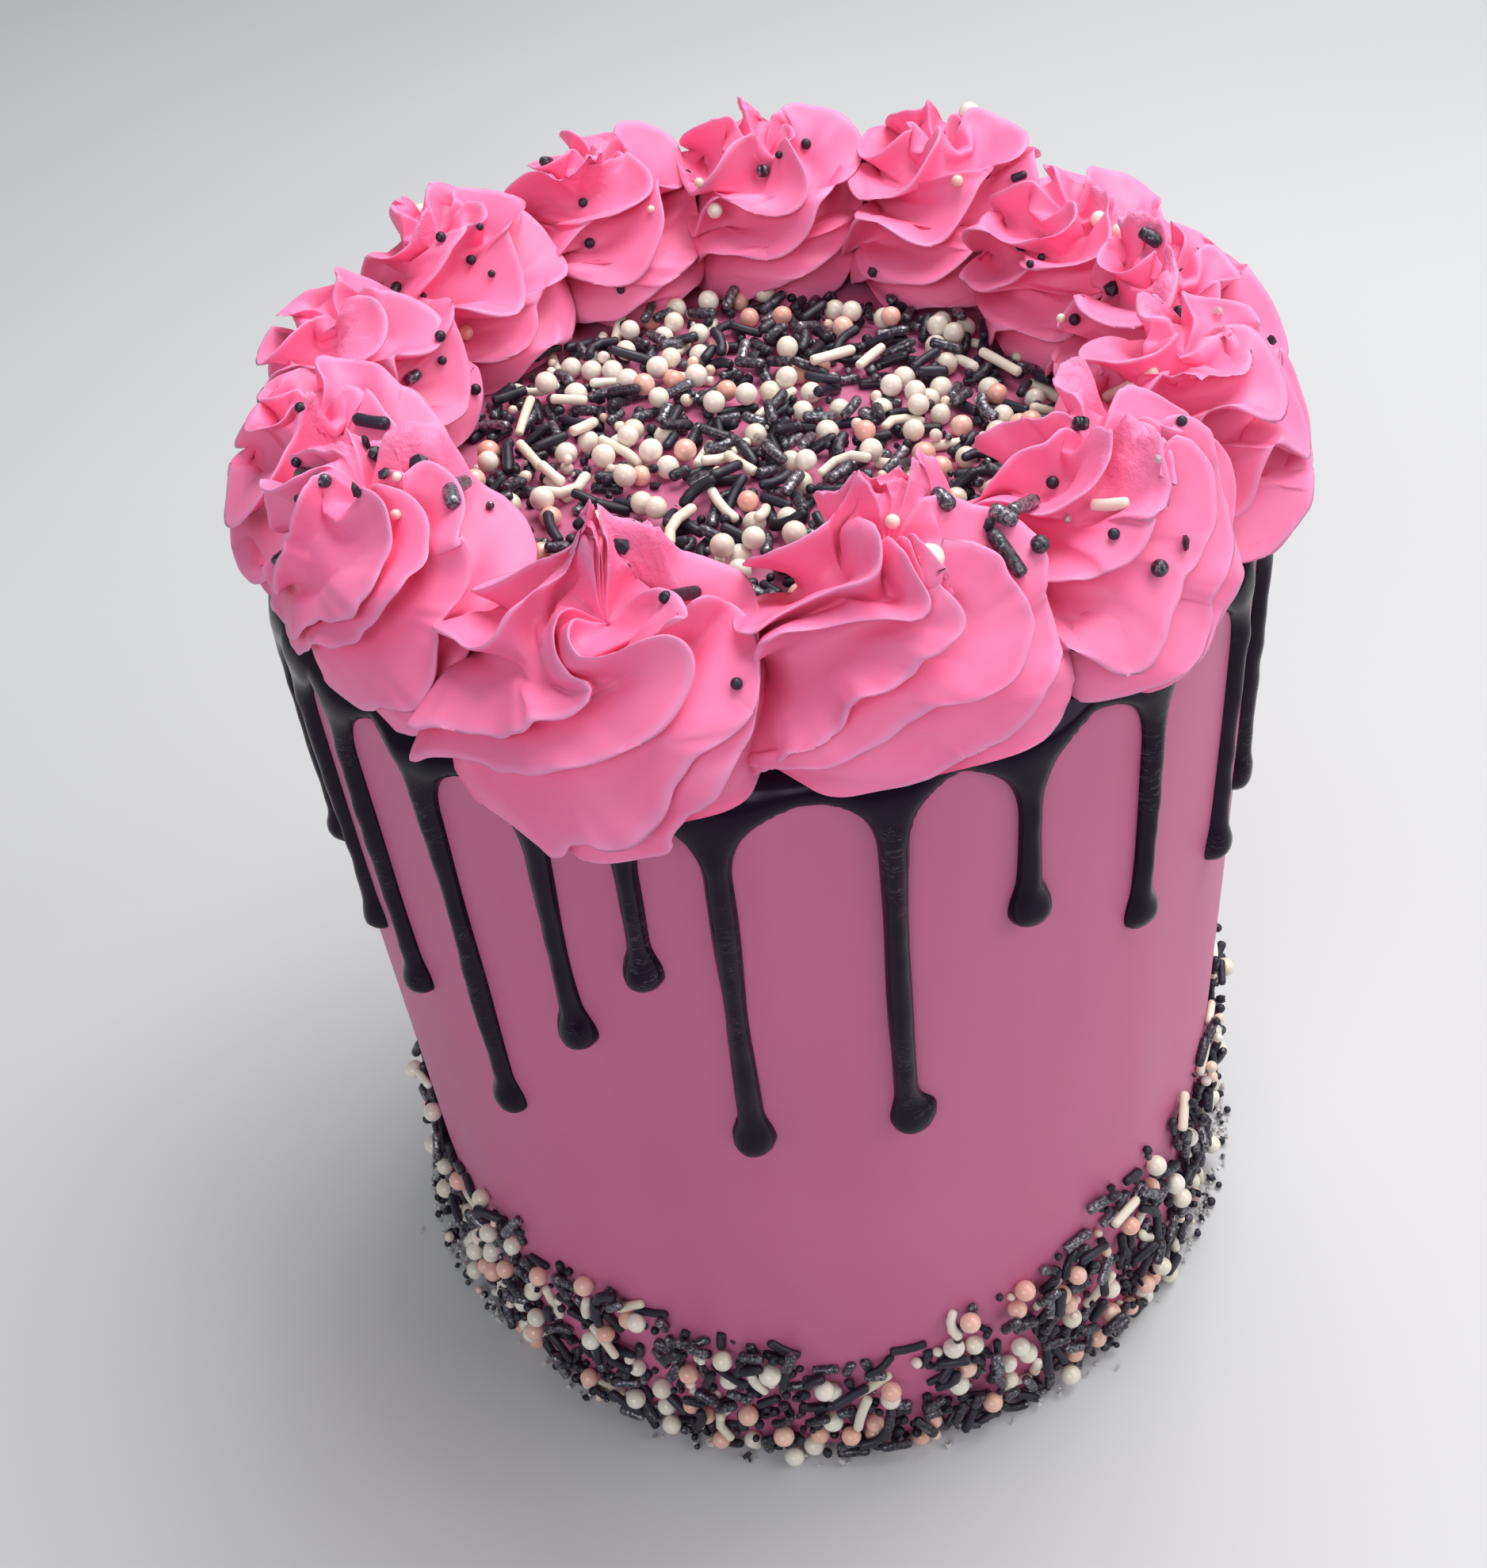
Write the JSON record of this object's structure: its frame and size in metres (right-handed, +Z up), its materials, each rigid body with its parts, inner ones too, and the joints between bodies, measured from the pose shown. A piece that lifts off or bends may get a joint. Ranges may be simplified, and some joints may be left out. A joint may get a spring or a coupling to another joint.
{
  "type": "sprinkle cake",
  "caption": "Tall round iced party cake, uncut, with a dark glossy drip collar, piped swirl rosettes round the top edge and sprinkles on top and round the foot.",
  "frame": {"origin": "centre of the cake's flat underside, where it rests", "axes": "+Z up along the cake's axis, -Y towards the front of the picture, +X to its right"},
  "size_m": [0.1808, 0.1829, 0.217],
  "materials": {
    "side_icing": "smooth buttercream, dusty pink, satin",
    "ganache": "set black ganache, glossy with a violet cast",
    "piped_icing": "piped buttercream, bright pink, soft satin"
  },
  "bodies": {
    "root": {"cake_body": "side_icing", "ganache_drip": "ganache", "rosette_01": "piped_icing", "rosette_02": "piped_icing", "rosette_03": "piped_icing", "rosette_04": "piped_icing", "rosette_05": "piped_icing", "rosette_06": "piped_icing", "rosette_07": "piped_icing", "rosette_08": "piped_icing", "rosette_09": "piped_icing", "rosette_10": "piped_icing", "rosette_11": "piped_icing", "rosette_12": "piped_icing", "rosette_13": "piped_icing"}
  },
  "joints": []
}
